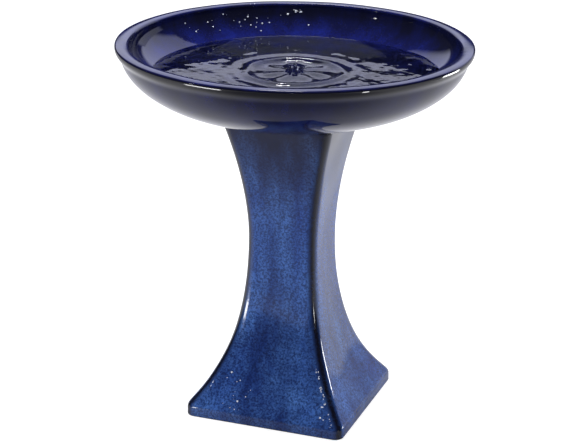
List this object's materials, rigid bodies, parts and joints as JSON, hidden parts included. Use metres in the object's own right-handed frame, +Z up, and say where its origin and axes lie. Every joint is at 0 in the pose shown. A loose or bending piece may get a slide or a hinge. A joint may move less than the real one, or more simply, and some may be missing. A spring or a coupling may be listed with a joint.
{
  "type": "bird bath",
  "caption": "Round, thick-walled glazed stoneware bowl with a thick lip, resting loose on a square, waisted, hollow pedestal with flared concave sides.",
  "frame": {"origin": "on the ground, under the middle of the pedestal's foot", "axes": "+Z up; X and Y run square to the pedestal's sides"},
  "size_m": [0.46, 0.46, 0.496],
  "materials": {
    "pedestal_glaze": "gloss",
    "bowl_glaze": "gloss",
    "seat_rubber": "matte",
    "water": "polished"
  },
  "bodies": {
    "pedestal": {"pedestal": "pedestal_glaze"},
    "seat": {"seat_ring": "seat_rubber"},
    "bowl": {"bowl": "bowl_glaze"}
  },
  "joints": [
    {"name": "bowl_turn", "type": "hinge", "parent": "pedestal", "child": "seat", "pos_m": [0, 0, 0.404], "axis": [0, 0, 1], "continuous": true},
    {"name": "bowl_lift", "type": "slide", "parent": "seat", "child": "bowl", "axis": [0, 0, 1], "range_m": [0, 0.15]}
  ]
}
